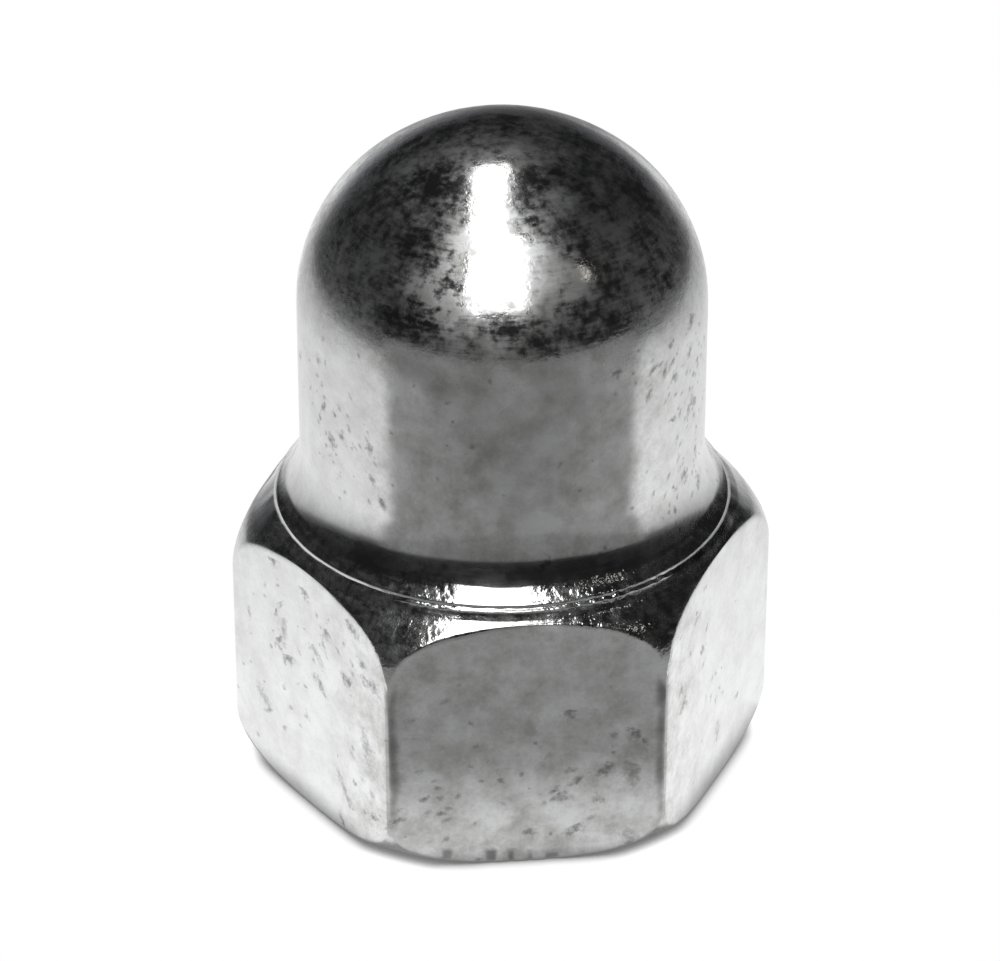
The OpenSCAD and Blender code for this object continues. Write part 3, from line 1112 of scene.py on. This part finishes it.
def build_ceiling(stage):
    """Dark dome over the set: a sphere from a little under the horizon up to the top, brighter low down
    where the pale walls are."""
    rows, columns = CEILING_GRID
    rise = np.linspace(CEILING_FOOT, np.pi / 2 - CEILING_GAP, rows)[:, None]
    angle = np.linspace(-np.pi, np.pi, columns, endpoint=False)[None, :]
    points = CEILING_REACH * spun(angle, np.cos(rise), np.sin(rise) + 0 * angle)
    ceiling = mesh_object("dark_ceiling", points, grid_faces(rows, columns, True))
    low = 1 - smooth_share(rise, WALL_FOOT, WALL_TOP)
    light = 1 + wall_share(angle, WALL_ON_CLOTH) * low
    lit_by_attribute(ceiling, light, "dark_cloth", stage.ceiling)


def build_lamp(stage):
    """Overhead lamp: a strip of quads between its left and right sides, on a slope that rises behind the
    nut."""
    back, left, right = np.array(LAMP_ROWS).T * LAMP_HEIGHT
    height = LAMP_HEIGHT + LAMP_SLOPE * back
    points = np.stack([np.stack([side, back, height], -1) for side in (left, right)], 1)
    lamp = mesh_object("overhead_lamp", points, grid_faces(len(LAMP_ROWS), 2, False))
    lamp.data.materials.append(glowing("lamp_cloth", stage.lamp, stage.lamp_strength))
    mirror_only(lamp)


def build_warm_lamp(stage):
    """Small lamp at the right: a square that faces the nut."""
    out = Vector(spun(WARM_TURN, math.cos(WARM_RISE), math.sin(WARM_RISE)))
    across = out.cross(Vector((0, 0, 1))).normalized() * WARM_SIZE / 2
    up = across.normalized().cross(out) * WARM_SIZE / 2
    low, high = out * WARM_DISTANCE - up, out * WARM_DISTANCE + up
    points = np.array([[low - across, low + across], [high - across, high + across]])
    lamp = mesh_object("warm_lamp", points, grid_faces(2, 2, False))
    lamp.data.materials.append(glowing("warm_shade", stage.warm_lamp, stage.warm_strength))
    mirror_only(lamp)


def build_camera(stage):
    """Camera at the photograph's viewing angle."""
    angle, rise = stage.camera_turn, stage.camera_rise
    back = Vector(spun(angle, math.cos(rise), math.sin(rise)))
    right = Vector((math.cos(angle), math.sin(angle), 0))
    target = right * stage.target_side + Vector((0, 0, stage.target_height))
    data = bpy.data.cameras.new("camera")
    data.sensor_fit = "HORIZONTAL"
    data.sensor_width = SENSOR_WIDTH
    data.lens = stage.lens
    data.clip_start, data.clip_end = CLIP_RANGE
    camera = bpy.data.objects.new("camera", data)
    camera.location = target + back * stage.camera_distance
    camera.rotation_euler = back.to_track_quat("Z", "Y").to_euler()
    bpy.context.scene.collection.objects.link(camera)
    bpy.context.scene.camera = camera


def build_world():
    """White room: full white to the camera and to mirrors, and dim to everything else."""
    world = bpy.data.worlds.new("white_room")
    bpy.context.scene.world = world
    world.use_nodes = True
    tree = world.node_tree
    tree.nodes.clear()
    seen = add_node(tree, "ShaderNodeLightPath", out="Is Camera Ray")
    path = seen.node.outputs
    for ray in ("Is Glossy Ray", "Is Transmission Ray"):
        seen = add_node(tree, "ShaderNodeMath", {0: seen, 1: path[ray]}, operation="MAXIMUM")
    level = add_node(tree, "ShaderNodeMapRange", {0: seen, 3: ROOM_DIM, 4: 1.0})
    white = {"Color": to_linear("#ffffff"), "Strength": level}
    light = add_node(tree, "ShaderNodeBackground", white)
    add_node(tree, "ShaderNodeOutputWorld", {"Surface": light})


class LUGNUT_OT_nut(bpy.types.Operator):
    """Build the plated nut with its thread"""

    bl_idname = "lugnut.nut"
    bl_label = "Lug nut"

    def execute(self, context):
        scene = context.scene
        nut = build_nut(scene.nut_sizes)
        nut.data.materials.append(plated_steel(scene.plating_looks))
        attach(nut, "root")
        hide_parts(NODE)
        return {"FINISHED"}


class LUGNUT_OT_stage(bpy.types.Operator):
    """Build the floor, cards, lamps, room and camera"""

    bl_idname = "lugnut.stage"
    bl_label = "Stage"

    def execute(self, context):
        stage = context.scene.stage_looks
        context.scene.view_settings.view_transform = "Standard"
        build_world()
        build_sheet(stage)
        build_reflector(stage)
        build_ceiling(stage)
        build_lamp(stage)
        build_warm_lamp(stage)
        build_camera(stage)
        return {"FINISHED"}


class LUGNUT_PT_sidebar(bpy.types.Panel):
    """Lists the nut and its stage"""

    bl_idname = "LUGNUT_PT_sidebar"
    bl_label = "Lug nut"
    bl_space_type = "VIEW_3D"
    bl_region_type = "UI"
    bl_category = "Lug nut"

    def draw(self, context):
        scene = context.scene
        for groups, operator in (
            ((scene.nut_sizes, scene.plating_looks), LUGNUT_OT_nut),
            ((scene.stage_looks,), LUGNUT_OT_stage),
        ):
            box = self.layout.box()
            for group in groups:
                for name in group.__annotations__:
                    box.prop(group, name)
            box.operator(operator.bl_idname)


CLASSES = (NutSizes, PlatingLooks, StageLooks, LUGNUT_OT_nut, LUGNUT_OT_stage, LUGNUT_PT_sidebar)
GROUPS = {"nut_sizes": NutSizes, "plating_looks": PlatingLooks, "stage_looks": StageLooks}


def register():
    for made in CLASSES:
        bpy.utils.register_class(made)
    for name, group in GROUPS.items():
        setattr(bpy.types.Scene, name, bpy.props.PointerProperty(type=group))


def unregister():
    for name in GROUPS:
        delattr(bpy.types.Scene, name)
    for made in reversed(CLASSES):
        bpy.utils.unregister_class(made)


def main():
    register()
    bpy.ops.lugnut.nut()
    bpy.ops.lugnut.stage()


if __name__ == "__main__":
    main()
